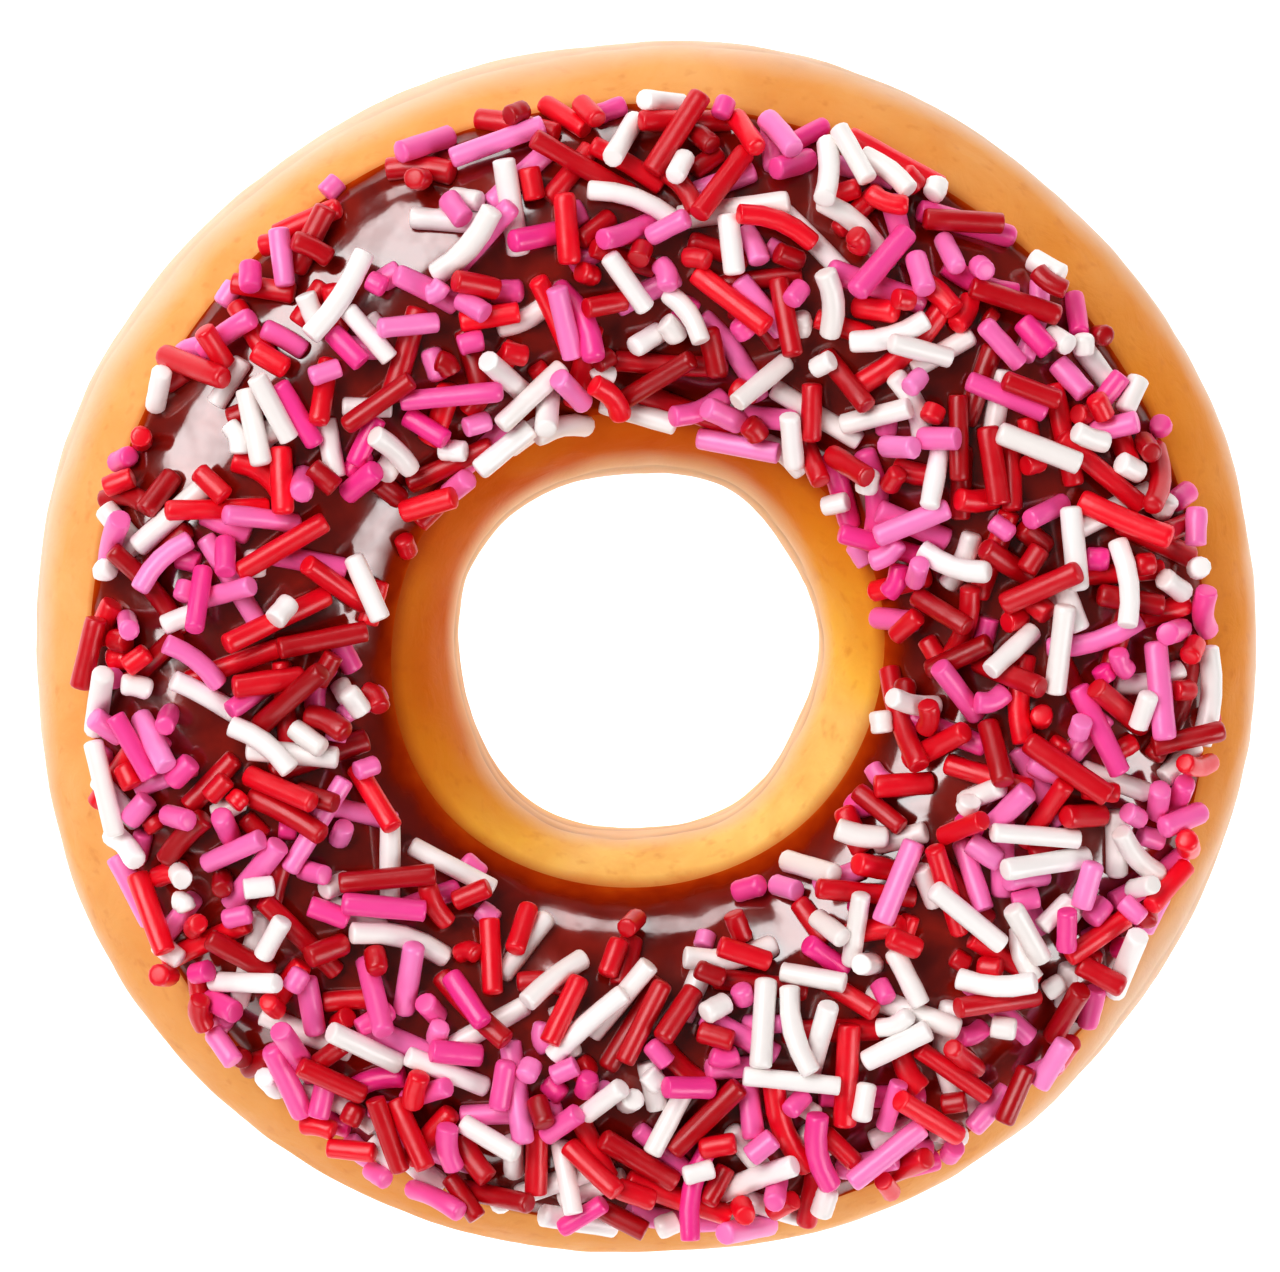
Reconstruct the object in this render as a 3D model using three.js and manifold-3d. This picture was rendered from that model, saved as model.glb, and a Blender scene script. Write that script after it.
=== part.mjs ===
// A ring doughnut: a fried ring of dough, chocolate icing over its upper part, and sugar sprinkles on the
// icing and on each other. Millimetres, +Z up. The origin is under the middle of the ring, where it stands.
import * as THREE from "three";
import Module from "manifold-3d";

const DEGREE = Math.PI / 180;
const TURN = 2 * Math.PI;

// The ring of dough.
const OUTER_RADIUS = 46.1;
const HOLE_RADIUS = 13.75; // at the hole's narrowest
const DOUGH_HEIGHT = 28;
const WAIST_HEIGHT = 13.5; // where the ring is widest, between its two fried halves
const FOOT_SINK = 0.8; // how much of the round underside the flat foot takes away
const TOP_FULLNESS = 2.2; // power of the section's upper curve: 2 is an ellipse, and more is fuller
const BOTTOM_FULLNESS = 2.6;

// The icing.
const ICING_INNER_RADIUS = 18.2; // of its border towards the hole
const ICING_OUTER_RADIUS = 41.2;
const ICING_THICKNESS = 0.9;
const ICING_GAP = 0.3; // between the dough and the icing
const ICING_EDGE = 5; // power of the icing's thinning edge: more is steeper

// How uneven each outline is: waves in a turn, their height as a share of the size, and where one crests, in
// degrees.
const OUTER_WAVES = [
  [1, 0.009, -100],
  [2, 0.0056, 34],
  [4, 0.004, -45],
  [5, 0.004, 9],
  [8, 0.0025, -19],
];
const HOLE_WAVES = [
  [1, 0.0585, -155],
  [2, 0.011, 76],
  [3, 0.0115, 23],
  [4, 0.0125, -35],
  [5, 0.011, 5],
  [6, 0.008, -1],
];
const CREST_WAVES = [
  [1, 0.01, 140],
  [3, 0.012, 20],
  [5, 0.008, 50],
];
const INNER_BORDER_WAVES = [
  [1, 0.056, 134],
  [2, 0.015, 16],
  [3, 0.0065, 2],
  [4, 0.009, 34],
];
const OUTER_BORDER_WAVES = [
  [1, 0.0165, -65],
  [2, 0.0088, -64],
  [4, 0.0036, 42],
];

// The sprinkles: the longest of those on the doughnut, thrown on it one after the other.
const SPRINKLE_SEED = 77;
const SPRINKLE_COUNT = 182;
const THROWS = 2; // for each sprinkle, of which the one that comes to rest lowest stays
const SPRINKLE_RADIUS = 0.8;
const WIDTH_SPREAD = 0.16; // between the thinnest and the thickest, as a share
const SHORTEST = 4.2; // end to end
const LONGEST = 9.2;
const SINK = 0.4; // how deep a sprinkle sits in the icing
const SQUEEZE = 0.16; // share of their width by which sprinkles press together
const HIGHEST_LIFT = 3.6; // of a sprinkle's middle off the dough
const STEEPEST = 0.9; // slope of a leaning sprinkle
const CURVED_SHARE = 0.25; // of the sprinkles
const CURVE = 0.08; // how far a curved sprinkle bows at most, as a share of its length
const OUTER_OVERHANG = 0.8; // how far the middle line of a sprinkle reaches past the icing's outer border
const INNER_OVERHANG = 1.3; // the same over the hole's most crowded side, and how far it stays back opposite
const CROWDED_SIDE = 75; // of the hole, in degrees
const STOPS = [-1, -0.75, -0.5, -0.25, 0, 0.25, 0.5, 0.75, 1]; // where along half its length one can touch
const MIDDLE = 4; // the stop in the middle
const SIDES = 5; // of the prism that stands for a sprinkle
const SIDE_REACH = 1.08; // of the prism's edges, as a share of the sprinkle's radius
const END_REACH = 0.8; // of the prism's ends past the last stop, likewise

// Places where the icing is almost bare: x, y and radius.
const BARE_PATCHES = [
  [-18.5, 32.5, 3.2],
  [-33, 17.5, 2.8],
  [-20, 10, 2.4],
  [-19.3, 0.5, 2],
  [-18.6, -5.5, 2],
  [-16.2, -11.5, 2],
  [-5, -18.6, 1.8],
  [2, -19.2, 2],
  [9, -18.4, 1.8],
  [21.5, -9, 1.6],
  [21.2, -20.6, 1.6],
  [27.9, -27.7, 1.6],
  [-31.7, -5.2, 1.6],
  [-29.1, -26.7, 1.6],
  [15.7, -39.5, 1.6],
  [26, 30, 1.5],
];

// The mesh.
const RING_STEPS = 40;
const ICED_STEPS = 6; // across the dough under the icing
const HOLE_STEPS = 6; // from the icing down to the foot, through the hole
const FLANK_STEPS = 8; // from the foot up to the icing, round the outside
const ICING_STEPS = 8; // across the icing's upper side

const wasm = await Module();
wasm.setup();

function wave(waves, theta) {
  const heights = waves.map(([count, share, crest]) => share * Math.cos(count * (theta - crest * DEGREE)));
  return heights.reduce((sum, height) => sum + height);
}

// The measures of the ring's section at an angle round the ring.
function ringAt(theta) {
  const outer = OUTER_RADIUS * (1 + wave(OUTER_WAVES, theta));
  const hole = HOLE_RADIUS * (1 + wave(HOLE_WAVES, theta));
  const ring = {
    middle: (outer + hole) / 2,
    half: (outer - hole) / 2,
    rise: DOUGH_HEIGHT * (1 + wave(CREST_WAVES, theta)) - WAIST_HEIGHT,
    drop: WAIST_HEIGHT + FOOT_SINK,
    icingInner: ICING_INNER_RADIUS * (1 + wave(INNER_BORDER_WAVES, theta)),
    icingOuter: ICING_OUTER_RADIUS * (1 + wave(OUTER_BORDER_WAVES, theta)),
  };
  ring.innerBorder = angleAt(ring, ring.icingInner);
  ring.outerBorder = angleAt(ring, ring.icingOuter);
  return ring;
}

// The angle in the section, turned up from straight out, at which its upper curve is this far from the axis.
function angleAt(ring, radius) {
  const x = (radius - ring.middle) / ring.half;
  const z = (1 - Math.abs(x) ** TOP_FULLNESS) ** (1 / TOP_FULLNESS);
  return Math.atan2(ring.rise * z, ring.half * x);
}

// The section's curve is |x / half| ^ power + |z / height| ^ power = 1. This is how large a curve of that
// shape runs through a point, how fast that size grows from there, and which way is out of it.
function curveThrough(ring, x, z) {
  const [height, power] = z >= 0 ? [ring.rise, TOP_FULLNESS] : [ring.drop, BOTTOM_FULLNESS];
  const size = (Math.abs(x / ring.half) ** power + Math.abs(z / height) ** power) ** (1 / power);
  const growthX = (Math.sign(x) * Math.abs(x / (size * ring.half)) ** (power - 1)) / ring.half;
  const growthZ = (Math.sign(z) * Math.abs(z / (size * height)) ** (power - 1)) / height;
  const growth = Math.hypot(growthX, growthZ);
  return { size, growth, outX: growthX / growth, outZ: growthZ / growth };
}

// A point of the section, lifted off the dough: its distance from the axis, its height, and the way out.
function sectionPoint(ring, psi, lift) {
  const { size } = curveThrough(ring, Math.cos(psi), Math.sin(psi));
  const x = Math.cos(psi) / size;
  const z = Math.sin(psi) / size;
  const { outX, outZ } = curveThrough(ring, x, z);
  return {
    r: ring.middle + x + lift * outX,
    z: Math.max(0, WAIST_HEIGHT + z + lift * outZ),
    outX,
    outZ,
  };
}

// Across the icing, -1 is its border towards the hole and 1 is the outer one.
function icingAngle(ring, across) {
  return THREE.MathUtils.lerp(ring.innerBorder, ring.outerBorder, (across + 1) / 2);
}

function icingLift(across) {
  return ICING_GAP + ICING_THICKNESS * Math.sqrt(Math.max(0, 1 - Math.abs(across) ** ICING_EDGE));
}

// Evenly spaced numbers, from the first up to but without the last.
function steps(count, from, to) {
  return Array.from({ length: count }, (_, i) => THREE.MathUtils.lerp(from, to, i / count));
}

function solid(positions, faces) {
  const mesh = new wasm.Mesh({
    numProp: 3,
    vertProperties: new Float32Array(positions),
    triVerts: new Uint32Array(faces),
  });
  return new wasm.Manifold(mesh);
}

// A solid from the closed outline of its section at each step round the ring. Outlines turn from out to up.
function ringSolid(outlineAt) {
  const thetas = steps(RING_STEPS, 0, TURN);
  const outlines = thetas.map(outlineAt);
  const positions = outlines.flatMap((outline, i) =>
    outline.flatMap(({ r, z }) => [r * Math.cos(thetas[i]), r * Math.sin(thetas[i]), z]),
  );
  const size = outlines[0].length;
  const faces = [];
  for (let i = 0; i < RING_STEPS; i++) {
    const next = (i + 1) % RING_STEPS;
    for (let j = 0; j < size; j++) {
      const up = (j + 1) % size;
      faces.push(i * size + j, next * size + j, next * size + up);
      faces.push(i * size + j, next * size + up, i * size + up);
    }
  }
  return solid(positions, faces);
}

function doughOutline(theta) {
  const ring = ringAt(theta);
  const footHalf = ring.half * (1 - (WAIST_HEIGHT / ring.drop) ** BOTTOM_FULLNESS) ** (1 / BOTTOM_FULLNESS);
  const footInside = TURN + Math.atan2(-WAIST_HEIGHT, -footHalf);
  const footOutside = TURN + Math.atan2(-WAIST_HEIGHT, footHalf);
  const angles = [
    ...steps(ICED_STEPS, 1, -1).map((across) => icingAngle(ring, across)),
    ...steps(HOLE_STEPS, ring.innerBorder, footInside),
    footInside,
    ...steps(FLANK_STEPS, footOutside, ring.outerBorder + TURN),
  ];
  return angles.map((psi) => sectionPoint(ring, psi, 0));
}

function icingOutline(theta) {
  const ring = ringAt(theta);
  const upper = steps(ICING_STEPS, 0, Math.PI).map(Math.cos);
  const under = steps(ICED_STEPS, -1, 1).slice(1);
  return [
    ...[...upper, -1].map((across) => sectionPoint(ring, icingAngle(ring, across), icingLift(across))),
    ...under.map((across) => sectionPoint(ring, icingAngle(ring, across), ICING_GAP)),
  ];
}

// How far a point is above the icing, or above what keeps a sprinkle off the dough past the icing's borders.
function clearance(point) {
  const ring = ringAt(Math.atan2(point.y, point.x));
  const x = Math.hypot(point.x, point.y) - ring.middle;
  const z = point.z - WAIST_HEIGHT;
  const { size, growth } = curveThrough(ring, x, z);
  const share = (Math.atan2(z, x) - ring.innerBorder) / (ring.outerBorder - ring.innerBorder);
  const lift = icingLift(THREE.MathUtils.clamp(2 * share - 1, -1, 1));
  return (size - 1) / growth - Math.max(lift, ICING_GAP + SINK);
}

// Numbers from 0 to 1, the same on every run.
function randomFrom(seed) {
  let state = seed;
  return () => {
    state = (state * 16807) % 2147483647;
    return state / 2147483647;
  };
}

// A sprinkle over a random place of the icing: that place on the dough, the way off it, the directions along
// and beside the sprinkle, and its own sizes.
function thrown(random) {
  const theta = TURN * random();
  const ring = ringAt(theta);
  const fromAxis = Math.sqrt(THREE.MathUtils.lerp(ring.icingInner ** 2, ring.icingOuter ** 2, random()));
  const { r, z, outX, outZ } = sectionPoint(ring, angleAt(ring, fromAxis), 0);
  const out = new THREE.Vector3(Math.cos(theta), Math.sin(theta), 0);
  const round = new THREE.Vector3(-Math.sin(theta), Math.cos(theta), 0);
  const off = out.clone().multiplyScalar(outX).setZ(outZ);
  const heading = Math.PI * random();
  const along = round.clone().multiplyScalar(Math.cos(heading));
  along.addScaledVector(off.clone().cross(round), Math.sin(heading));
  const length = SHORTEST + (LONGEST - SHORTEST) * random();
  const radius = SPRINKLE_RADIUS * (1 + WIDTH_SPREAD * (random() - 0.5));
  const curving = random() / CURVED_SHARE;
  return {
    place: out.multiplyScalar(r).setZ(z),
    off,
    along,
    side: off.clone().cross(along),
    half: length / 2 - radius,
    radius,
    bow: curving < 1 ? CURVE * length * curving : 0,
    tip: random(),
  };
}

// The stops of a sprinkle that leans by this slope, with its middle still on the dough: how far along it they
// are, and where.
function stopsOf(sprinkle, slope) {
  return STOPS.map((stop) => {
    const at = (stop * sprinkle.half) / Math.hypot(1, slope);
    const point = sprinkle.place.clone().addScaledVector(sprinkle.along, at);
    return { at, point: point.addScaledVector(sprinkle.side, sprinkle.bow * (0.5 - stop * stop)) };
  });
}

// How much room is left between a ball of this radius and a sprinkle that lies already.
function room(point, radius, other) {
  const near = new THREE.Vector3();
  const distances = other.parts.map((part) => part.closestPointToPoint(point, true, near).distanceTo(point));
  return Math.min(...distances) - (radius + other.radius) * (1 - SQUEEZE);
}

// How far one stop of a sprinkle has to be lifted until it only rests on what is under it.
function restingLift(start, { radius, off }, near) {
  const point = start.clone();
  for (let i = 0; i < 4; i++) point.addScaledVector(off, radius - SINK - clearance(point));
  for (let i = 0; i < 20; i++) {
    const least = Math.min(0, ...near.map((other) => room(point, radius, other)));
    point.addScaledVector(off, -least);
  }
  return point.sub(start).dot(off);
}

// The lowest straight line over the lifts at the stops: its lift in the middle, and its slope.
function lowestLine(stops, lifts, tip) {
  const best = { lift: -Infinity, slope: 0 };
  for (let i = 0; i < MIDDLE; i++)
    for (let j = MIDDLE + 1; j < STOPS.length; j++) {
      const slope = (lifts[j] - lifts[i]) / (stops[j].at - stops[i].at);
      const lift = lifts[i] - slope * stops[i].at;
      if (lift > best.lift) Object.assign(best, { lift, slope });
    }
  if (lifts[MIDDLE] <= best.lift) return best;
  // It balances on its middle, and tips over to one side until a stop of that side touches too.
  const slopes = stops.map(({ at }, i) => (lifts[i] - lifts[MIDDLE]) / at);
  const slope = tip < 0.5 ? Math.min(...slopes.slice(0, MIDDLE)) : Math.max(...slopes.slice(MIDDLE + 1));
  return { lift: lifts[MIDDLE], slope };
}

// A thrown sprinkle once it lies on the icing and on the sprinkles before it.
function laid(sprinkle, lying) {
  const reach = sprinkle.half + HIGHEST_LIFT + 3 * SPRINKLE_RADIUS;
  const near = lying.filter((other) => other.line[MIDDLE].distanceTo(sprinkle.place) < reach + other.half);
  const pose = { lift: 0, slope: 0 };
  let stops = [];
  for (let i = 0; i < 2; i++) {
    stops = stopsOf(sprinkle, pose.slope);
    const lifts = stops.map(({ point }) => restingLift(point, sprinkle, near));
    Object.assign(pose, lowestLine(stops, lifts, sprinkle.tip));
  }
  const line = stops.map(({ at, point }) => point.addScaledVector(sprinkle.off, pose.lift + pose.slope * at));
  const parts = line.slice(1).map((point, i) => new THREE.Line3(line[i], point));
  return { ...sprinkle, ...pose, line, parts };
}

function isOverIcing({ x, y }) {
  const theta = Math.atan2(y, x);
  const { icingInner, icingOuter } = ringAt(theta);
  const innerOverhang = INNER_OVERHANG * Math.cos(theta - CROWDED_SIDE * DEGREE);
  const fromAxis = Math.hypot(x, y);
  return fromAxis > icingInner - innerOverhang && fromAxis < icingOuter + OUTER_OVERHANG;
}

// Whether a sprinkle could stay where it lies: not too high or steep, over the icing, off the bare patches.
function isStable({ lift, slope, line, half }) {
  const { x, y } = line[MIDDLE];
  const isOnPatch = BARE_PATCHES.some(([px, py, size]) => Math.hypot(x - px, y - py) < size + half / 2);
  return lift < HIGHEST_LIFT && Math.abs(slope) < STEEPEST && line.every(isOverIcing) && !isOnPatch;
}

// All sprinkles, each with the points of its middle line.
function scattered() {
  const random = randomFrom(SPRINKLE_SEED);
  const lying = [];
  while (lying.length < SPRINKLE_COUNT) {
    const able = Array.from({ length: THROWS }, () => thrown(random))
      .map((sprinkle) => laid(sprinkle, lying))
      .filter(isStable);
    if (able.length > 0) lying.push(able.reduce((low, other) => (other.lift < low.lift ? other : low)));
  }
  return lying;
}

// A sprinkle as a prism that lies on one of its sides, with a joint in the middle where it is curved.
function sprinkleSolid({ line, radius, side, bow }) {
  const along = line.at(-1).clone().sub(line[0]).normalize();
  const up = along.clone().cross(side);
  const centres = [
    line[0].clone().addScaledVector(along, -END_REACH * radius),
    ...(bow > 0 ? [line[MIDDLE]] : []),
    line.at(-1).clone().addScaledVector(along, END_REACH * radius),
  ];
  const reach = SIDE_REACH * radius;
  const positions = centres.flatMap((centre) =>
    steps(SIDES, TURN / 4, TURN + TURN / 4).flatMap((turn) => {
      const corner = centre.clone().addScaledVector(side, reach * Math.cos(turn));
      return corner.addScaledVector(up, reach * Math.sin(turn)).toArray();
    }),
  );
  const last = (centres.length - 1) * SIDES;
  const faces = [];
  for (let k = 0; k < SIDES; k++) {
    const next = (k + 1) % SIDES;
    for (let from = 0; from < last; from += SIDES) {
      faces.push(from + k, from + next, from + SIDES + next);
      faces.push(from + k, from + SIDES + next, from + SIDES + k);
    }
    if (k > 0 && next > 0) faces.push(0, next, k, last, last + k, last + next);
  }
  return solid(positions, faces);
}

function meshOf(name, made, look) {
  const { vertProperties, triVerts } = made.getMesh();
  const geometry = new THREE.BufferGeometry();
  geometry.setAttribute("position", new THREE.BufferAttribute(vertProperties, 3));
  geometry.setIndex(new THREE.BufferAttribute(triVerts, 1));
  geometry.computeVertexNormals();
  const mesh = new THREE.Mesh(geometry, new THREE.MeshStandardMaterial(look));
  mesh.name = name;
  return mesh;
}

const dough = ringSolid(doughOutline);
const joined = wasm.Manifold.union([ringSolid(icingOutline), ...scattered().map(sprinkleSolid)]);
// The largest body leaves out loose scraps and the walls of sealed hollows.
const topping = joined.decompose().reduce((large, body) => (body.volume() > large.volume() ? body : large));

const doughnut = new THREE.Group();
doughnut.add(meshOf("dough_ring", dough, { color: 0xd98a3a, roughness: 0.45 }));
doughnut.add(meshOf("chocolate_icing", topping, { color: 0x3a1710, roughness: 0.2 }));

export default doughnut;
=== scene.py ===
"""A ring doughnut with chocolate icing and sugar sprinkles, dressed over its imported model.

The dough, the icing and the sprinkles are meshes made here, in millimetres, from the same sizes as the
solids they replace. The sprinkles of the solids come first, in their places, and others, which are shorter
on average, then fill in between and on top.
"""
import math
from types import SimpleNamespace

import bpy
import numpy as np
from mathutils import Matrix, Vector, noise


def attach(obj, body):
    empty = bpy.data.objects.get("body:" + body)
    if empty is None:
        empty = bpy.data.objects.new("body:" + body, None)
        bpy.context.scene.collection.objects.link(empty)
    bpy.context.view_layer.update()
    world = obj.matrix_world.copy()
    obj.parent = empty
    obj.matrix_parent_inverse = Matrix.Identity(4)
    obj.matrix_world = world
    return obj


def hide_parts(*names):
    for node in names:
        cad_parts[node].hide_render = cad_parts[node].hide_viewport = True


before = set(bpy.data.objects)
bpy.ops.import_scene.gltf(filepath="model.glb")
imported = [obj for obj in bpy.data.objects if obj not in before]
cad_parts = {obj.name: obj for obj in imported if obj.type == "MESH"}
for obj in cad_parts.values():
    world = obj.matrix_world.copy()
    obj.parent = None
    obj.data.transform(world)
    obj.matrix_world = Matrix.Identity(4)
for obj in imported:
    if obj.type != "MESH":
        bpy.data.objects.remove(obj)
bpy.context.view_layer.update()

MM = 0.001
TURN = 2 * math.pi

# ---------------------------------------------------------------- the shape, as in the solids

OUTER_RADIUS = 46.1
HOLE_RADIUS = 13.75  # at the hole's narrowest
DOUGH_HEIGHT = 28
WAIST_HEIGHT = 13.5  # where the ring is widest, between its two fried halves
FOOT_SINK = 0.8  # how much of the round underside the flat foot takes away
TOP_FULLNESS = 2.2  # power of the section's upper curve: 2 is an ellipse, and more is fuller
BOTTOM_FULLNESS = 2.6
ICING_INNER_RADIUS = 18.2  # of its border towards the hole
ICING_OUTER_RADIUS = 41.2
ICING_THICKNESS = 0.9
ICING_GAP = 0.3  # between the solids of the dough and the icing, which this icing fills
ICING_EDGE = 5  # power of the icing's thinning edge: more is steeper

# How uneven each outline is: waves in a turn, their height as a share of the size, and where one crests, in
# degrees.
OUTER_WAVES = [(1, 0.009, -100), (2, 0.0056, 34), (4, 0.004, -45), (5, 0.004, 9), (8, 0.0025, -19)]
HOLE_WAVES = [
    (1, 0.0585, -155),
    (2, 0.011, 76),
    (3, 0.0115, 23),
    (4, 0.0125, -35),
    (5, 0.011, 5),
    (6, 0.008, -1),
]
CREST_WAVES = [(1, 0.01, 140), (3, 0.012, 20), (5, 0.008, 50)]
INNER_BORDER_WAVES = [(1, 0.056, 134), (2, 0.015, 16), (3, 0.0065, 2), (4, 0.009, 34)]
OUTER_BORDER_WAVES = [(1, 0.0165, -65), (2, 0.0088, -64), (4, 0.0036, 42)]


def lerp(a, b, t):
    return (1 - t) * a + t * b


def wave(waves, theta):
    return sum(share * np.cos(count * (theta - math.radians(crest))) for count, share, crest in waves)


def towards(theta, bearing):
    """From 1 where the angle round the ring is this bearing in degrees, to -1 opposite."""
    return np.cos(theta - math.radians(bearing))


def ring_at(theta):
    """The measures of the ring's section at an angle round the ring."""
    outer = OUTER_RADIUS * (1 + wave(OUTER_WAVES, theta))
    hole = HOLE_RADIUS * (1 + wave(HOLE_WAVES, theta))
    ring = SimpleNamespace(
        middle=(outer + hole) / 2,
        half=(outer - hole) / 2,
        rise=DOUGH_HEIGHT * (1 + wave(CREST_WAVES, theta)) - WAIST_HEIGHT,
        drop=WAIST_HEIGHT + FOOT_SINK,
        icing_inner=ICING_INNER_RADIUS * (1 + wave(INNER_BORDER_WAVES, theta)),
        icing_outer=ICING_OUTER_RADIUS * (1 + wave(OUTER_BORDER_WAVES, theta)),
    )
    ring.outer_border = angle_at(ring, ring.icing_outer)
    ring.inner_border = angle_at(ring, ring.icing_inner)
    return ring


def angle_at(ring, radius):
    """The angle in the section, up from straight out, at which its top is this far from the axis."""
    x = (radius - ring.middle) / ring.half
    z = (1 - np.abs(x) ** TOP_FULLNESS) ** (1 / TOP_FULLNESS)
    return np.arctan2(ring.rise * z, ring.half * x)


def curve_through(ring, x, z):
    """The size of the section curve through a point, how fast it grows there, and the way out of it."""
    upper = np.greater_equal(z, 0)
    height = np.where(upper, ring.rise, ring.drop)
    power = np.where(upper, TOP_FULLNESS, BOTTOM_FULLNESS)
    size = (np.abs(x / ring.half) ** power + np.abs(z / height) ** power) ** (1 / power)
    growth_x = np.sign(x) * np.abs(x / (size * ring.half)) ** (power - 1) / ring.half
    growth_z = np.sign(z) * np.abs(z / (size * height)) ** (power - 1) / height
    growth = np.hypot(growth_x, growth_z)
    return size, growth, growth_x / growth, growth_z / growth


def section_point(ring, psi, lift):
    """A point of the section lifted off the dough: distance from the axis, height, and the way out."""
    size = curve_through(ring, np.cos(psi), np.sin(psi))[0]
    x = np.cos(psi) / size
    z = np.sin(psi) / size
    _, _, out_x, out_z = curve_through(ring, x, z)
    return ring.middle + x + lift * out_x, np.maximum(0, WAIST_HEIGHT + z + lift * out_z), out_x, out_z


def icing_angle(ring, across):
    """The angle in the section at a place across the icing, from -1 at the hole to 1 outside."""
    return lerp(ring.inner_border, ring.outer_border, (across + 1) / 2)


def icing_lift(across):
    return ICING_GAP + ICING_THICKNESS * np.sqrt(np.maximum(0, 1 - np.abs(across) ** ICING_EDGE))


# ---------------------------------------------------------------- the sprinkles' places

SPRINKLE_RADIUS = 0.8
WIDTH_SPREAD = 0.16  # between the thinnest and the thickest, as a share
SINK = 0.4  # how deep a sprinkle sits in the icing
STEEPEST = 0.9  # slope of a leaning sprinkle
CURVED_SHARE = 0.25  # of the sprinkles
CURVE = 0.08  # how far a curved sprinkle bows at most, as a share of its length
OUTER_OVERHANG = 0.8  # how far the middle line of a sprinkle reaches past the icing's outer border
INNER_OVERHANG = 1.3  # the same over the hole's most crowded side, and how far it stays back opposite
CROWDED_SIDE = 75  # of the hole, in degrees
HIGHEST_TOP = 34  # of a sprinkle above the table
LEAST_LEAN = 30  # of a sprinkle that is stuck at an angle, in degrees
MOST_LEAN = 80
STOPS = np.linspace(-1, 1, 9)  # where along half its length a sprinkle can touch
MIDDLE = 4  # the stop in the middle
SETTLING_ROUNDS = 4
LIFTING_ROUNDS = 20

# The sprinkles that the solids have too, and those that fill in between and over them in the scene alone.
# The fillers are shorter on average, though their range of lengths overlaps the first one.
FIRST = SimpleNamespace(
    count=182,
    seed=77,
    shortest=4.2,  # end to end
    longest=9.2,
    throws=2,  # for each sprinkle, of which the one that comes to rest lowest stays
    squeeze=0.16,  # share of their width by which sprinkles press together
    leaning=0,  # share of those that are stuck at an angle
    highest=3.6,  # of a sprinkle's middle off the dough
    deepest=math.inf,  # how far a sprinkle may cut into another past the squeeze
)
FILLERS = SimpleNamespace(
    count=570,
    seed=31,
    shortest=2.2,
    longest=8.2,
    throws=4,
    squeeze=0.05,
    leaning=0.12,
    highest=4,
    deepest=0.2,
)

# Places where the icing is almost bare: x, y and radius.
BARE_PATCHES = [
    (-18.5, 32.5, 3.2),
    (-33, 17.5, 2.8),
    (-20, 10, 2.4),
    (-19.3, 0.5, 2),
    (-18.6, -5.5, 2),
    (-16.2, -11.5, 2),
    (-5, -18.6, 1.8),
    (2, -19.2, 2),
    (9, -18.4, 1.8),
    (21.5, -9, 1.6),
    (21.2, -20.6, 1.6),
    (27.9, -27.7, 1.6),
    (-31.7, -5.2, 1.6),
    (-29.1, -26.7, 1.6),
    (15.7, -39.5, 1.6),
    (26, 30, 1.5),
]


def random_from(seed):
    """Numbers from 0 to 1, the same on every run."""
    state = seed
    while True:
        state = state * 16807 % 2147483647
        yield state / 2147483647


def clearance(points):
    """How far points are above the icing, or past its borders above what keeps a sprinkle off the dough."""
    ring = ring_at(np.arctan2(points[:, 1], points[:, 0]))
    x = np.hypot(points[:, 0], points[:, 1]) - ring.middle
    z = points[:, 2] - WAIST_HEIGHT
    size, growth, _, _ = curve_through(ring, x, z)
    share = (np.arctan2(z, x) - ring.inner_border) / (ring.outer_border - ring.inner_border)
    lift = icing_lift(np.clip(2 * share - 1, -1, 1))
    return (size - 1) / growth - np.maximum(lift, ICING_GAP + SINK)


def thrown(draw, sizes):
    """A sprinkle over a random place of the icing."""
    theta = TURN * draw()
    ring = ring_at(theta)
    from_axis = math.sqrt(lerp(ring.icing_inner**2, ring.icing_outer**2, draw()))
    r, z, out_x, out_z = section_point(ring, angle_at(ring, from_axis), 0)
    off = np.array([math.cos(theta) * out_x, math.sin(theta) * out_x, out_z])
    around = np.array([-math.sin(theta), math.cos(theta), 0])
    heading = math.pi * draw()
    along = around * math.cos(heading) + np.cross(off, around) * math.sin(heading)
    length = sizes.shortest + (sizes.longest - sizes.shortest) * draw()
    radius = SPRINKLE_RADIUS * (1 + WIDTH_SPREAD * (draw() - 0.5))
    curving = draw() / CURVED_SHARE
    sprinkle = SimpleNamespace(
        place=np.array([r * math.cos(theta), r * math.sin(theta), z]),
        off=off,
        along=along,
        side=np.cross(off, along),
        half=length / 2 - radius,
        radius=radius,
        squeeze=sizes.squeeze,
        bow=CURVE * length * curving if curving < 1 else 0,
        tip=draw(),
        is_stuck=sizes.leaning > 0 and draw() < sizes.leaning,
    )
    if sprinkle.is_stuck:
        lean = math.radians(LEAST_LEAN + (MOST_LEAN - LEAST_LEAN) * draw())
        sprinkle.along = along * math.cos(lean) + off * math.sin(lean)
    return sprinkle


def stops_of(sprinkle, slope):
    """The stops of a sprinkle that leans by this slope, with its middle still on the dough."""
    at = STOPS * sprinkle.half / math.hypot(1, slope)
    bow = sprinkle.bow * (0.5 - STOPS**2)
    return at, sprinkle.place + at[:, None] * sprinkle.along + bow[:, None] * sprinkle.side


def cores_of(near):
    """The straight pieces of these sprinkles' middle lines."""
    return SimpleNamespace(
        origins=np.concatenate([other.origins for other in near]),
        spans=np.concatenate([other.spans for other in near]),
        radii=np.concatenate([other.radii for other in near]),
    )


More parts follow.
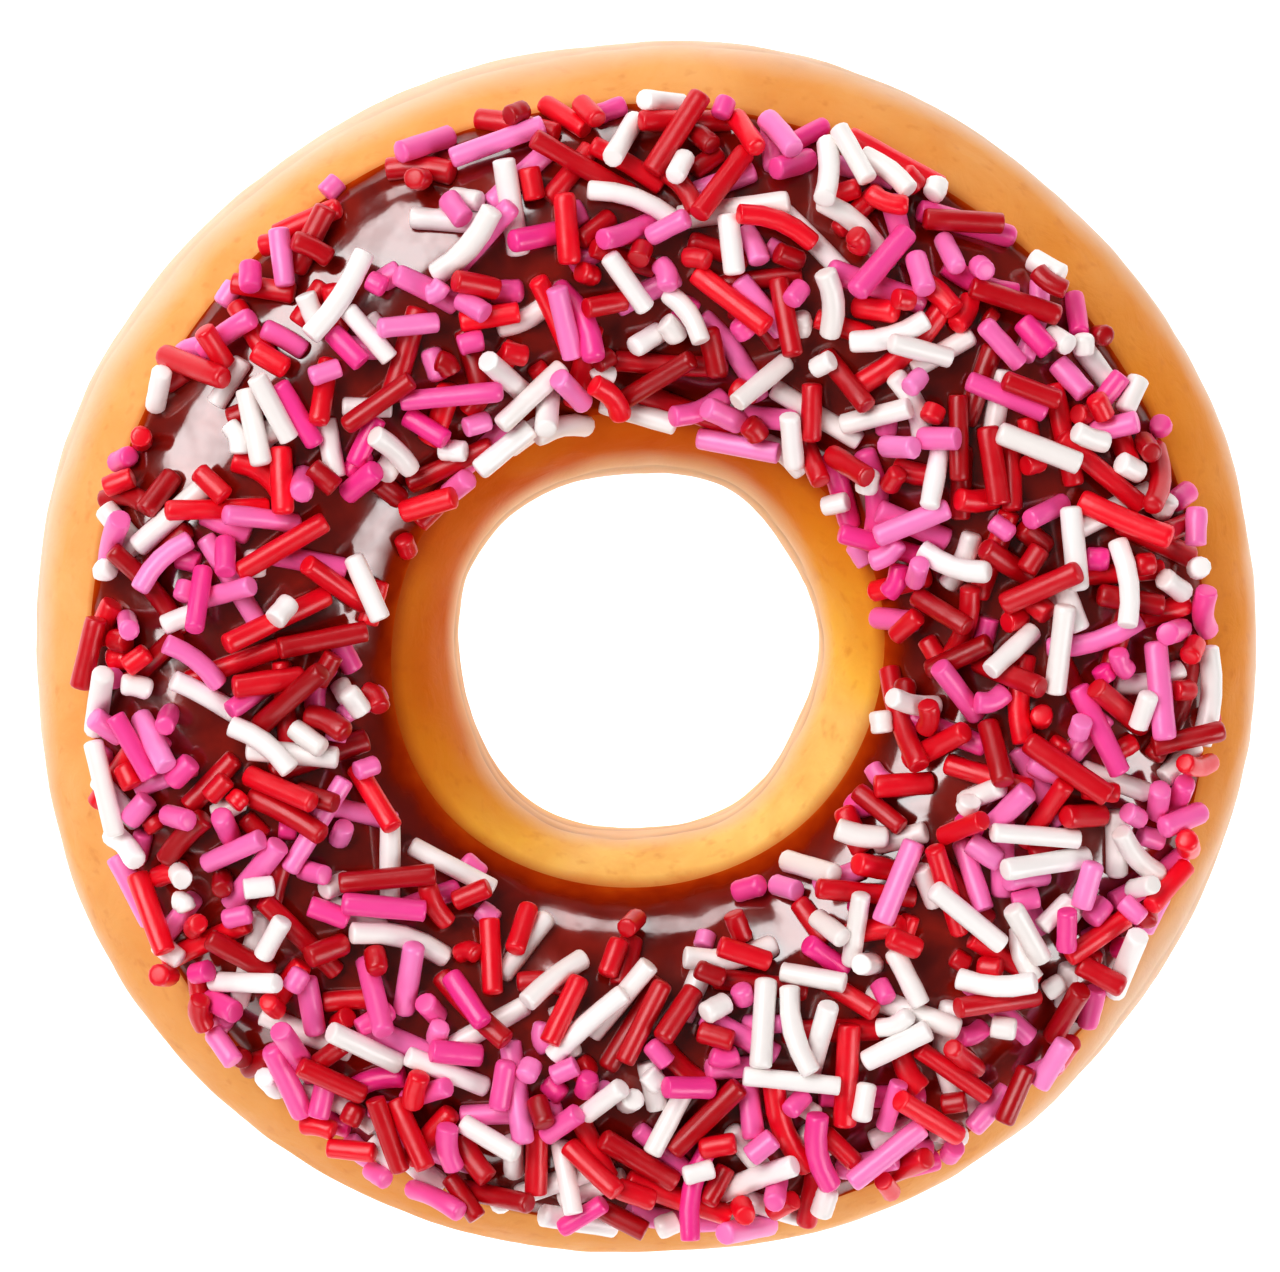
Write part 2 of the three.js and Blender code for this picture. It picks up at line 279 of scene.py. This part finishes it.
def cuts(points, sprinkle, cores):
    """How deep a sprinkle whose middle line holds these points cuts into others, past what they give way."""
    offsets = points[:, None] - cores.origins
    shares = np.clip((offsets * cores.spans).sum(2) / (cores.spans**2).sum(1), 0, 1)
    distances = np.linalg.norm(offsets - shares[:, :, None] * cores.spans, axis=2)
    reaches = (cores.radii + sprinkle.radius) * (1 - sprinkle.squeeze)
    return np.maximum(0, (reaches - distances).max(1))


def resting_lifts(starts, sprinkle, cores):
    """How far each stop of a sprinkle has to be lifted until it only rests on what is under it."""
    points = starts.copy()
    for _ in range(SETTLING_ROUNDS):
        points += (sprinkle.radius - SINK - clearance(points))[:, None] * sprinkle.off
    for _ in range(LIFTING_ROUNDS if cores else 0):
        depths = cuts(points, sprinkle, cores)
        if not depths.any():
            break
        points += depths[:, None] * sprinkle.off
    return (points - starts) @ sprinkle.off


def lowest_line(at, lifts, tip):
    """The lowest straight line over the lifts at the stops: its lift in the middle, and its slope."""
    best, slope = -math.inf, 0
    for i in range(MIDDLE):
        for j in range(MIDDLE + 1, len(STOPS)):
            new_slope = (lifts[j] - lifts[i]) / (at[j] - at[i])
            lift = lifts[i] - new_slope * at[i]
            if lift > best:
                best, slope = lift, new_slope
    if lifts[MIDDLE] <= best:
        return best, slope
    # It balances on its middle, and tips over to one side until a stop of that side touches too.
    left = (lifts[:MIDDLE] - lifts[MIDDLE]) / at[:MIDDLE]
    right = (lifts[MIDDLE + 1 :] - lifts[MIDDLE]) / at[MIDDLE + 1 :]
    return lifts[MIDDLE], left.min() if tip < 0.5 else right.max()


def laid(sprinkle, lying):
    """A thrown sprinkle once it lies on the icing and on the sprinkles before it."""
    reach = sprinkle.half + FIRST.highest + 3 * SPRINKLE_RADIUS
    near = [s for s in lying if math.dist(s.line[MIDDLE], sprinkle.place) < reach + s.half]
    cores = cores_of(near) if near else None
    slope = 0
    for _ in range(2):
        at, starts = stops_of(sprinkle, slope)
        lifts = resting_lifts(starts, sprinkle, cores)
        lift, slope = (lifts.max(), 0) if sprinkle.is_stuck else lowest_line(at, lifts, sprinkle.tip)
    sprinkle.lift, sprinkle.slope = lift, slope
    sprinkle.line = starts + (lift + slope * at)[:, None] * sprinkle.off
    ends = sprinkle.line if sprinkle.bow > 0 else sprinkle.line[[0, -1]]
    sprinkle.origins = ends[:-1]
    sprinkle.spans = np.diff(ends, axis=0)
    sprinkle.radii = np.full(len(ends) - 1, sprinkle.radius)
    sprinkle.cut = cuts(sprinkle.line, sprinkle, cores).max() if near else 0
    return sprinkle


def is_over_icing(line):
    theta = np.arctan2(line[:, 1], line[:, 0])
    ring = ring_at(theta)
    from_axis = np.hypot(line[:, 0], line[:, 1])
    is_past_hole = from_axis > ring.icing_inner - INNER_OVERHANG * towards(theta, CROWDED_SIDE)
    return np.all(is_past_hole & (from_axis < ring.icing_outer + OUTER_OVERHANG))


def is_stable(sprinkle, sizes):
    x, y, _ = sprinkle.line[MIDDLE]
    on_patch = any(math.hypot(x - px, y - py) < size + sprinkle.half / 2 for px, py, size in BARE_PATCHES)
    top = sprinkle.line[:, 2].max() + sprinkle.radius
    is_low = sprinkle.lift < sizes.highest and abs(sprinkle.slope) < STEEPEST and top < HIGHEST_TOP
    return is_low and sprinkle.cut < sizes.deepest and not on_patch and is_over_icing(sprinkle.line)


def scatter(lying, sizes):
    """Adds the sprinkles of one range of sizes to those that lie already."""
    draw = random_from(sizes.seed).__next__
    wanted = len(lying) + sizes.count
    while len(lying) < wanted:
        throws = [thrown(draw, sizes) for _ in range(sizes.throws)]
        able = [s for s in (laid(s, lying) for s in throws) if is_stable(s, sizes)]
        if able:
            lying.append(min(able, key=lambda s: s.lift))


# ---------------------------------------------------------------- mesh and material helpers


def add_piece(name, points, faces, node, attributes):
    """A mesh piece from points in millimetres, which stands for a node of the frame."""
    mesh = bpy.data.meshes.new(name)
    mesh.from_pydata((points * MM).tolist(), [], faces)
    for key, values in attributes.items():
        attribute = mesh.attributes.new(key, "FLOAT", "POINT")
        attribute.data.foreach_set("value", np.asarray(values, dtype=np.float32))
    mesh.shade_smooth()
    mesh.update()
    piece = bpy.data.objects.new(name, mesh)
    bpy.context.scene.collection.objects.link(piece)
    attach(piece, "root")
    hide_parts(node)
    return piece


def turned(theta, r, z):
    """Points or directions at angles round the ring, from their distance from the axis and their height."""
    return np.stack([r * np.cos(theta), r * np.sin(theta), z], axis=2).reshape(-1, 3)


def grid_faces(rows, columns):
    """Quads of a grid that closes on itself both ways."""
    row, column = np.meshgrid(np.arange(rows), np.arange(columns), indexing="ij")
    next_row, next_column = (row + 1) % rows, (column + 1) % columns
    corners = [
        row * columns + column,
        next_row * columns + column,
        next_row * columns + next_column,
        row * columns + next_column,
    ]
    return np.stack([c.ravel() for c in corners], axis=1).tolist()


def noise_at(points, scale, seed, detail):
    """Fractal noise from about -1 to 1 at points in millimetres, with features of this many millimetres."""
    shift = Vector((seed, -seed, 2 * seed))
    return np.array([noise.fractal(Vector(p) / scale + shift, 1.0, 2.0, detail) for p in points.tolist()])


class Look:
    """A material's node tree, built from the shader back."""

    def __init__(self, name):
        self.material = bpy.data.materials.new(name)
        self.material.use_nodes = True
        self.tree = self.material.node_tree
        self.tree.nodes.clear()
        self.shader = self.add("ShaderNodeBsdfPrincipled")
        output = self.add("ShaderNodeOutputMaterial")
        self.tree.links.new(self.shader.outputs[0], output.inputs[0])

    def add(self, kind, inputs=None, **settings):
        node = self.tree.nodes.new(kind)
        for key, value in settings.items():
            setattr(node, key, value)
        self.put(node, inputs or {})
        return node

    def put(self, node, inputs):
        """Links an input to a socket, or sets it to a number or a colour."""
        for key, value in inputs.items():
            if isinstance(value, bpy.types.NodeSocket):
                self.tree.links.new(value, node.inputs[key])
            else:
                node.inputs[key].default_value = value

    def shade(self, **inputs):
        self.put(self.shader, {key.replace("_", " "): value for key, value in inputs.items()})

    def noise(self, scale, detail=3.0, roughness=0.5, distortion=0.0):
        """Noise with features of this many millimetres."""
        inputs = {
            "Vector": self.add("ShaderNodeTexCoord").outputs["Object"],
            "Scale": 1 / (scale * MM),
            "Detail": detail,
            "Roughness": roughness,
            "Distortion": distortion,
        }
        return self.add("ShaderNodeTexNoise", inputs).outputs["Fac"]

    def ramp(self, value, stops):
        """A colour that runs through these ones, each given with its place from 0 to 1."""
        node = self.add("ShaderNodeValToRGB", {"Fac": value})
        elements = node.color_ramp.elements
        for place, _ in stops[1:-1]:
            elements.new(place)
        for element, (place, shade) in zip(elements, stops):
            element.position = place
            element.color = shade
        return node.outputs["Color"]

    def attribute(self, name):
        return self.add("ShaderNodeAttribute", attribute_name=name).outputs["Fac"]

    def map(self, value, low, high, to_low=0.0, to_high=1.0):
        inputs = {"Value": value, "From Min": low, "From Max": high, "To Min": to_low, "To Max": to_high}
        return self.add("ShaderNodeMapRange", inputs).outputs[0]

    def mix(self, share, first, second):
        return self.add("ShaderNodeMix", {0: share, 6: first, 7: second}, data_type="RGBA").outputs[2]

    def math(self, operation, first, second):
        return self.add("ShaderNodeMath", {0: first, 1: second}, operation=operation).outputs[0]

    def tint(self, base, share, strength, shade):
        """A shade laid over the base, this strong where the share is 1 and not at all where it is 0."""
        return self.mix(self.math("MULTIPLY", share, strength), base, shade)

    def bump(self, height, distance, strength, under=None):
        """Relief of this many millimetres, on the smooth surface or on the relief under it."""
        inputs = {"Height": height, "Distance": distance * MM, "Strength": strength}
        if under is not None:
            inputs["Normal"] = under
        return self.add("ShaderNodeBump", inputs).outputs[0]


def colour(red, green, blue):
    """A colour given as it shows, from 0 to 255, as the linear light that a shader takes."""
    parts = [c / 255 for c in (red, green, blue)]
    return [c / 12.92 if c <= 0.04045 else ((c + 0.055) / 1.055) ** 2.4 for c in parts] + [1.0]


# ---------------------------------------------------------------- the dough

# The pale belt round the waist that the fat didn't brown, on the flank partly painted light: its middle
# above the waist and half its width, outside and on the hole's wall, and how both change round the ring.
FLANK_BELT_MIDDLE = 0.7
FLANK_BELT_HALF = 2.4
# The flank's belt widens and rises towards the key lamp in the north-west and the fill lamp in the
# south-east: partly painted light.
FLANK_SWELL_AND_LIGHT_WAVES = [(1, 0.65, 120), (2, 0.4, 145)]
SWELL_RISE = 1.2  # by which a swell of 1 raises the belt's middle
SWELL_WIDTH = 1.4  # and widens its half
LIT_PATCH_SWELL = 1.5  # more of it where the belt is widest, facing the fill lamp: painted light
LIT_PATCH_PLACE = -0.57  # round the ring, in radians
LIT_PATCH_SPREAD = 0.28
WALL_BELT_MIDDLE = 1.4
WALL_BELT_RISE = 0.9  # by which its middle rises on one side, and falls opposite
WALL_BELT_HIGHEST = 75  # that side, in degrees
WALL_BELT_HALF = 2
WALL_SWELL_WAVES = [(1, 0.7, 80), (2, 0.4, 85)]
BELT_UNEVENNESS = 0.6
FLANK_FADING = 3.8  # from the belt's border to the fully fried crust
WALL_FADING = 3
CREASE_PLACE = 0.8  # of the creases along the belt's borders, as a share of its half
CREASE_WIDTH = 0.28
CREASE_DEPTH = 0.14
FLANK_CREASE_SHADE = 0.35  # how much painted shade darkens a crease
WALL_CREASE_SHADE = 0.85

# How deep the crust's colour is, from 0 to 1: real browning with painted shade and painted light laid in,
# deepest on the flank's east and the hole wall's north-west, which face away from the key lamp; palest
# facing it.
FLANK_BROWN_AND_SHADE = 0.38
FLANK_BROWN_AND_SHADE_WAVES = [(1, 0.31, -13), (2, 0.17, 36), (3, 0.16, 11)]
WALL_BROWN_AND_SHADE = 0.45
WALL_BROWN_AND_SHADE_WAVES = [(1, 0.75, 114), (2, 0.18, 30)]
BROWN_UNEVENNESS = 0.25
SIDE_BLEND = 8  # across which the looks of the flank turn into those of the wall
UNDERSIDE_START = 3  # how far under the waist the crust starts to darken
UNDERSIDE_FADING = 7
OUTER_SOAK_AND_SHADOW = 0.8  # how far the icing has soaked into the dough past its borders, with the painted shadow of its edge
INNER_SOAK_AND_SHADOW = 1.6
BUMPS = 0.16  # height of the crust's broad bumps
PIMPLES = 0.05  # and of its small ones
FOOT_LEVEL = 0.05  # under which the foot stays flat


def flank_belt(theta):
    """The middle of the pale belt above the waist, and half its width, outside."""
    lit_patch = np.exp(-(((theta - LIT_PATCH_PLACE) / LIT_PATCH_SPREAD) ** 2))
    swell_and_light = wave(FLANK_SWELL_AND_LIGHT_WAVES, theta) + LIT_PATCH_SWELL * lit_patch
    return FLANK_BELT_MIDDLE + SWELL_RISE * swell_and_light, FLANK_BELT_HALF + SWELL_WIDTH * swell_and_light


def wall_belt(theta):
    """The same on the hole's wall."""
    rise = WALL_BELT_RISE * towards(theta, WALL_BELT_HIGHEST)
    return WALL_BELT_MIDDLE + rise, WALL_BELT_HALF + wave(WALL_SWELL_WAVES, theta)


def make_dough():
    rings, across = ((420, 200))
    around = np.linspace(0, TURN, rings, endpoint=False)[:, None]
    psi = np.linspace(-math.pi / 2, 1.5 * math.pi, across, endpoint=False)[None, :] + 0 * around
    ring = ring_at(around)
    r, z, out_x, out_z = section_point(ring, psi, 0)
    points = turned(around, r, z)
    theta = np.arctan2(points[:, 1], points[:, 0])
    height = points[:, 2] - WAIST_HEIGHT
    past_middle = (OUTER_RADIUS + HOLE_RADIUS) / 2 - np.hypot(points[:, 0], points[:, 1])
    inside = np.clip(0.5 + past_middle / SIDE_BLEND, 0, 1)
    is_outside = inside < 0.5

    belt_middle, belt_half = np.where(is_outside, flank_belt(theta), wall_belt(theta))
    belt_middle += BELT_UNEVENNESS * noise_at(points, scale=14, seed=8.8, detail=1)
    belt_half += BELT_UNEVENNESS * noise_at(points, scale=7, seed=3.3, detail=2)
    from_belt = np.abs(height - belt_middle)
    fried = np.clip((from_belt - belt_half) / np.where(is_outside, FLANK_FADING, WALL_FADING), 0, 1)
    crease = np.exp(-(((from_belt - CREASE_PLACE * belt_half) / CREASE_WIDTH) ** 2))

    relief = BUMPS * noise_at(points, scale=9, seed=1.7, detail=3)
    relief += PIMPLES * noise_at(points, scale=2.2, seed=5.1, detail=2)
    lift = np.where(points[:, 2] < FOOT_LEVEL, 0, relief - CREASE_DEPTH * crease)
    points = points + lift[:, None] * turned(around, out_x, out_z)
    points[:, 2] = np.maximum(points[:, 2], 0)

    # Painted shade and light: the crust is coloured deeper on the sides that face away from the key lamp.
    flank_brown_and_shade = FLANK_BROWN_AND_SHADE + wave(FLANK_BROWN_AND_SHADE_WAVES, theta)
    wall_brown_and_shade = WALL_BROWN_AND_SHADE + wave(WALL_BROWN_AND_SHADE_WAVES, theta)
    brown_and_shade = lerp(flank_brown_and_shade, wall_brown_and_shade, inside)
    brown_and_shade += BROWN_UNEVENNESS * noise_at(points, scale=10, seed=4.4, detail=2)
    past_outer = (ring.outer_border - psi) * ring.half / OUTER_SOAK_AND_SHADOW
    past_inner = (psi - ring.inner_border) * ring.half / INNER_SOAK_AND_SHADOW
    attributes = {
        "fried": fried,
        # Painted shade along the creases of the belt.
        "crease": crease * np.where(is_outside, FLANK_CREASE_SHADE, WALL_CREASE_SHADE),
        "inside": inside,
        "brown_and_shade": np.clip(brown_and_shade, 0, 1),
        # Dark next to the icing's borders: soaked-in icing and the painted shadow of its edge.
        "soaked_and_shadow": np.clip(1 - np.maximum(past_outer, past_inner), 0, 1).ravel(),
        "under": np.clip((-height - UNDERSIDE_START) / UNDERSIDE_FADING, 0, 1),
    }
    piece = add_piece("dough", points, grid_faces(rings, across), "dough_ring", attributes)
    piece.data.materials.append(dough_material())


def dough_material():
    """Fried crust: golden and blotchy, pale at the belt, with painted light and shade round the ring and in
    its creases, and dark by the icing, where it soaked in and where the shadow of its edge is painted.
    """
    look = Look("fried_dough")
    # The crust's colours from pale to deep also carry painted light on the lit sides and painted shade on
    # the others.
    flank = look.mix(look.attribute("brown_and_shade"), colour(241, 177, 110), colour(232, 144, 44))
    wall_stops = [
        (0.0, colour(250, 212, 126)),
        (0.2, colour(252, 206, 88)),
        (0.65, colour(226, 146, 38)),
        (1.0, colour(206, 100, 12)),
    ]
    wall = look.ramp(look.attribute("brown_and_shade"), wall_stops)
    golden = look.mix(look.attribute("inside"), flank, wall)
    blotches = look.map(look.noise(6.0, detail=4.0, roughness=0.6, distortion=0.6), 0.32, 0.68)
    golden = look.tint(golden, blotches, 0.35, colour(222, 130, 42))
    golden = look.tint(golden, look.attribute("under"), 0.75, colour(190, 110, 44))
    spots = look.map(look.noise(1.3, detail=2.0), 0.58, 0.8)
    golden = look.tint(golden, spots, 0.3, colour(198, 100, 30))
    belt = look.mix(look.attribute("inside"), colour(238, 196, 164), colour(240, 206, 162))
    base = look.mix(look.attribute("fried"), belt, golden)
    # Painted shade in the creases: a grey-brown darkening.
    base = look.tint(base, look.attribute("crease"), 0.55, colour(170, 134, 116))
    # Dark by the icing: partly soaked-in icing, partly painted shadow of the icing's edge.
    base = look.tint(base, look.attribute("soaked_and_shadow"), 0.85, colour(172, 68, 10))
    blisters = look.noise(3.0, detail=4.0, roughness=0.6, distortion=1.2)
    blistered = look.bump(blisters, distance=0.22, strength=0.4)
    look.shade(
        Base_Color=base,
        Roughness=look.map(look.noise(4.0), 0.3, 0.7, to_low=0.42, to_high=0.6),
        Specular_IOR_Level=0.12,
        Subsurface_Weight=0.12,
        Subsurface_Radius=(1.0, 0.45, 0.15),
        Subsurface_Scale=0.0015,
        Normal=look.bump(look.noise(0.7, roughness=0.6), distance=0.05, strength=0.4, under=blistered),
    )
    return look.material


# ---------------------------------------------------------------- the icing

ICING_ROOT = 0.1  # how deep the icing's borders and underside reach into the dough
RIPPLE = 0.1  # height of the waves in its upper side
RIPPLE_FADING = 0.1  # towards a border, as a share of the icing's half width
OUTER_FILM = 2.4  # how wide the thin film is at the icing's outer border
INNER_FILM = 4.4  # and at the hole
UNDERSIDE_STEPS = 10


def thinness(points, across):
    """From 0 to 1 towards the icing's borders, where it thins out. The points are ring by column."""
    steps = np.linalg.norm(np.diff(points[:, : across + 1], axis=1), axis=2)
    from_outside = np.concatenate([np.zeros((len(points), 1)), np.cumsum(steps, axis=1)], axis=1)
    from_hole = from_outside[:, -1:] - from_outside
    thin = 1 - np.clip(np.minimum(from_outside / OUTER_FILM, from_hole / INNER_FILM), 0, 1)
    under = np.ones((len(points), points.shape[1] - across - 1))
    return np.concatenate([thin, under], axis=1).ravel()


def make_icing():
    rings, across = ((520, 130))
    theta = np.linspace(0, TURN, rings, endpoint=False)[:, None]
    ring = ring_at(theta)
    upper = np.cos(np.linspace(0, math.pi, across + 1))
    under = np.linspace(-1, 1, UNDERSIDE_STEPS + 2)[1:-1]
    share = np.concatenate([upper, under])[None, :] + 0 * theta
    is_upper = np.arange(share.shape[1])[None, :] <= across
    lift = np.where(is_upper, icing_lift(share), -ICING_ROOT)
    lift[:, [0, across]] = -ICING_ROOT
    r, z, out_x, out_z = section_point(ring, icing_angle(ring, share), lift)
    points = turned(theta, r, z)
    on_top = (is_upper & (lift > 0)).ravel()
    inward = np.clip((1 - np.abs(share)).ravel() / RIPPLE_FADING, 0, 1)
    ripple = RIPPLE * noise_at(points, scale=5, seed=2.2, detail=2)
    points = points + (ripple * on_top * inward)[:, None] * turned(theta, out_x, out_z)
    attributes = {"thin": thinness(points.reshape(rings, -1, 3), across)}
    faces = grid_faces(rings, share.shape[1])
    piece = add_piece("icing", points, faces, "chocolate_icing", attributes)
    piece.data.materials.append(icing_material())


def icing_material():
    """Set chocolate icing: dark and glossy, and a dull red-brown film where it thins out."""
    look = Look("chocolate_icing")
    streaks = look.map(look.noise(5.0, distortion=0.8), 0.35, 0.65)
    dark = look.mix(streaks, colour(146, 30, 12), colour(114, 17, 6))
    fringe = look.map(look.noise(2.5, detail=2.0), 0.3, 0.7, to_low=-0.12, to_high=0.12)
    film = look.math("ADD", look.attribute("thin"), fringe)
    film_stops = [
        (0.0, colour(100, 22, 10)),
        (0.4, colour(130, 32, 6)),
        (0.7, colour(164, 58, 8)),
        (1.0, colour(192, 88, 20)),
    ]
    glaze = look.map(film, 0.0, 0.5, to_low=1.0, to_high=0.0)
    smears = look.map(look.noise(3.0), 0.3, 0.7, to_low=0.08, to_high=0.18)
    swells = look.bump(look.noise(5.0, detail=2.0), distance=0.3, strength=0.4)
    look.shade(
        Base_Color=look.mix(look.map(film, 0.0, 0.35), dark, look.ramp(film, film_stops)),
        Roughness=look.math("ADD", smears, look.map(film, 0.0, 1.0, to_high=0.3)),
        IOR=1.5,
        Specular_IOR_Level=glaze,
        Coat_Weight=glaze,
        Coat_IOR=1.6,
        Coat_Roughness=0.06,
        Normal=look.bump(look.noise(1.6, detail=2.0), distance=0.05, strength=0.5, under=swells),
    )
    return look.material


# ---------------------------------------------------------------- the sprinkles

SIDES = 12
CAP_RINGS = 4  # of points at each end
BODY_STOPS = [0, 2, 4, 6, 8]  # those of the stops that have a ring of points
SHAPE_SEED = 911
CAP_SQUARENESS = (0.3, 0.75)  # power of an end's round profile: 1 is an ellipse, and less is squarer
CAP_REACH = (0.35, 0.8)  # of an end past the last stop, as a share of the radius
GIRTH_SPREAD = 0.06  # between a sprinkle's thinnest ring and its thickest, as a share
OVALNESS = 0.05  # how far a ring is off round at most, as a share of its radius
CORNERS = 0.02  # the same for three flat sides

# The brightest and the deepest tone of each colour, and the share of red and of pink ones among the shortest
# sprinkles and among the longest.
TONES = {
    "red": (colour(248, 12, 42), colour(164, 0, 14)),
    "pink": (colour(255, 146, 208), colour(246, 46, 144)),
    "white": (colour(255, 250, 248), colour(246, 238, 234)),
}
RED_SHARE = (0.40, 0.47)
PINK_SHARE = (0.42, 0.19)
SHORTEST_BODY = 1.2  # between the middles of the ends
LONGEST_BODY = 7.2


def worn_end(middle, away, radius, draw):
    """An end's rings from its tip inwards, each as its middle and its share of the radius, and its tip."""
    squareness = CAP_SQUARENESS[0] + (CAP_SQUARENESS[1] - CAP_SQUARENESS[0]) * draw()
    reach = radius * (CAP_REACH[0] + (CAP_REACH[1] - CAP_REACH[0]) * draw())
    rings = []
    for k in range(1, CAP_RINGS + 1):
        phi = k * (math.pi / 2 / (CAP_RINGS + 1))
        rings.append((middle + reach * math.cos(phi) ** squareness * away, math.sin(phi) ** squareness))
    return rings, middle + reach * away


def sprinkle_points(sprinkle, draw):
    """The points of one sprinkle, ring by ring: a rod of sugar paste, a little uneven, with worn ends."""
    body = sprinkle.line[BODY_STOPS]
    tangents = np.gradient(body, axis=0)
    tangents /= np.linalg.norm(tangents, axis=1)[:, None]
    start, first_tip = worn_end(body[0], -tangents[0], sprinkle.radius, draw)
    finish, last_tip = worn_end(body[-1], tangents[-1], sprinkle.radius, draw)
    rings = start + [(middle, 1) for middle in body] + finish[::-1]
    directions = [tangents[0]] * CAP_RINGS + list(tangents) + [tangents[-1]] * CAP_RINGS
    spin = TURN * draw()
    oval = OVALNESS * draw()
    angles = np.linspace(0, TURN, SIDES, endpoint=False)
    points = [first_tip]
    for (middle, share), direction in zip(rings, directions):
        side = sprinkle.side - direction * (sprinkle.side @ direction)
        side /= np.linalg.norm(side)
        up = np.cross(direction, side)
        radius = sprinkle.radius * share * (1 + GIRTH_SPREAD * (draw() - 0.5))
        radii = radius * (1 + oval * np.cos(2 * (angles - spin)) + CORNERS * np.cos(3 * angles + spin))
        points.extend(middle + np.outer(radii * np.cos(angles), side) + np.outer(radii * np.sin(angles), up))
    points.append(last_tip)
    return np.array(points)


def rod_faces(rings):
    """The faces of a rod whose points are a tip, this many rings, and another tip."""
    faces = []
    last_ring = 1 + (rings - 1) * SIDES
    for k in range(SIDES):
        following = (k + 1) % SIDES
        faces.append((0, 1 + following, 1 + k))
        for low in range(1, last_ring, SIDES):
            high = low + SIDES
            faces.append((low + k, low + following, high + following, high + k))
        faces.append((last_ring + k, last_ring + following, last_ring + SIDES))
    return faces


def kind_of(sprinkle, pick):
    """The colour that a random number from 0 to 1 picks for a sprinkle of this length."""
    size = min(1, max(0, (2 * sprinkle.half - SHORTEST_BODY) / (LONGEST_BODY - SHORTEST_BODY)))
    red = lerp(*RED_SHARE, size)
    pink = lerp(*PINK_SHARE, size)
    return "red" if pick < red else "pink" if pick < red + pink else "white"


def make_sprinkles(lying):
    draw = random_from(SHAPE_SEED).__next__
    rods = {kind: [] for kind in TONES}
    for sprinkle in lying:
        kind = kind_of(sprinkle, draw())
        rods[kind].append((sprinkle_points(sprinkle, draw), draw()))
    faces = rod_faces(len(BODY_STOPS) + 2 * CAP_RINGS)
    for kind, made in rods.items():
        points = np.concatenate([rod for rod, _ in made])
        count = len(points) // len(made)
        all_faces = [[start + v for v in face] for start in range(0, len(points), count) for face in faces]
        tones = np.repeat([tone for _, tone in made], count)
        name = "sprinkles_" + kind
        piece = add_piece(name, points, all_faces, "chocolate_icing", {"tone": tones})
        piece.data.materials.append(sprinkle_material(name, *TONES[kind]))


def sprinkle_material(name, bright, deep):
    """Coloured sugar with a satin finish, each sprinkle in a tone of its own."""
    look = Look(name)
    look.shade(
        Base_Color=look.mix(look.attribute("tone"), bright, deep),
        Roughness=look.map(look.noise(1.5), 0.3, 0.7, to_low=0.28, to_high=0.42),
        Specular_IOR_Level=0.7,
        Normal=look.bump(look.noise(0.9), distance=0.04, strength=0.6),
    )
    return look.material


# ---------------------------------------------------------------- camera, light and floor

CAMERA_DISTANCE = 0.42
CAMERA_TILT = 6  # degrees from straight down
VIEW_MIDDLE = Vector((-0.0004, 0.00083, WAIST_HEIGHT * MM))
LIGHT_DISTANCE = 0.7
LIT_POINT = Vector((0, 0, 0.015))


def add_light(name, azimuth, elevation, size, power):
    """A soft box that faces the doughnut. azimuth is counted from +X towards +Y."""
    light = bpy.data.lights.new(name, "AREA")
    light.shape = "RECTANGLE"
    light.size, light.size_y = size
    light.energy = power
    lamp = bpy.data.objects.new(name, light)
    a, e = math.radians(azimuth), math.radians(elevation)
    away = Vector((math.cos(a) * math.cos(e), math.sin(a) * math.cos(e), math.sin(e)))
    lamp.location = away * LIGHT_DISTANCE + LIT_POINT
    lamp.rotation_euler = away.to_track_quat("Z", "Y").to_euler()
    bpy.context.scene.collection.objects.link(lamp)


def make_stage():
    bpy.ops.mesh.primitive_plane_add(size=3.0)
    floor = bpy.context.object
    floor.name = "floor"
    look = Look("floor")
    look.shade(
        Base_Color=(0.2, 0.2, 0.2, 1),
        Roughness=0.8,
        Emission_Color=(1, 1, 1, 1),
        Emission_Strength=1.15,
    )
    floor.data.materials.append(look.material)

    world = bpy.data.worlds.new("studio")
    bpy.context.scene.world = world
    world.use_nodes = True
    background = world.node_tree.nodes["Background"]
    background.inputs["Color"].default_value = (1, 1, 1, 1)
    background.inputs["Strength"].default_value = 0.07

    add_light("key", azimuth=143, elevation=54, size=(0.62, 0.42), power=3.7)
    add_light("back", azimuth=98, elevation=25, size=(0.5, 0.13), power=0.65)
    add_light("fill", azimuth=-30, elevation=34, size=(0.34, 0.42), power=1.85)
    add_light("front", azimuth=-115, elevation=28, size=(0.7, 0.3), power=1.05)

    bpy.context.scene.view_settings.view_transform = "Standard"
    bpy.context.scene.view_settings.look = "Medium High Contrast"


def make_camera():
    camera = bpy.data.cameras.new("camera")
    camera.lens = 156.6
    camera.sensor_width = 36
    camera.clip_start = 0.01
    viewer = bpy.data.objects.new("camera", camera)
    tilt = math.radians(CAMERA_TILT)
    viewer.location = VIEW_MIDDLE + CAMERA_DISTANCE * Vector((0, math.sin(tilt), math.cos(tilt)))
    viewer.rotation_euler = (-tilt, 0, 0)
    bpy.context.scene.collection.objects.link(viewer)
    bpy.context.scene.camera = viewer


make_camera()
make_stage()
sprinkles = []
scatter(sprinkles, FIRST)
scatter(sprinkles, FILLERS)
make_dough()
make_icing()
make_sprinkles(sprinkles)
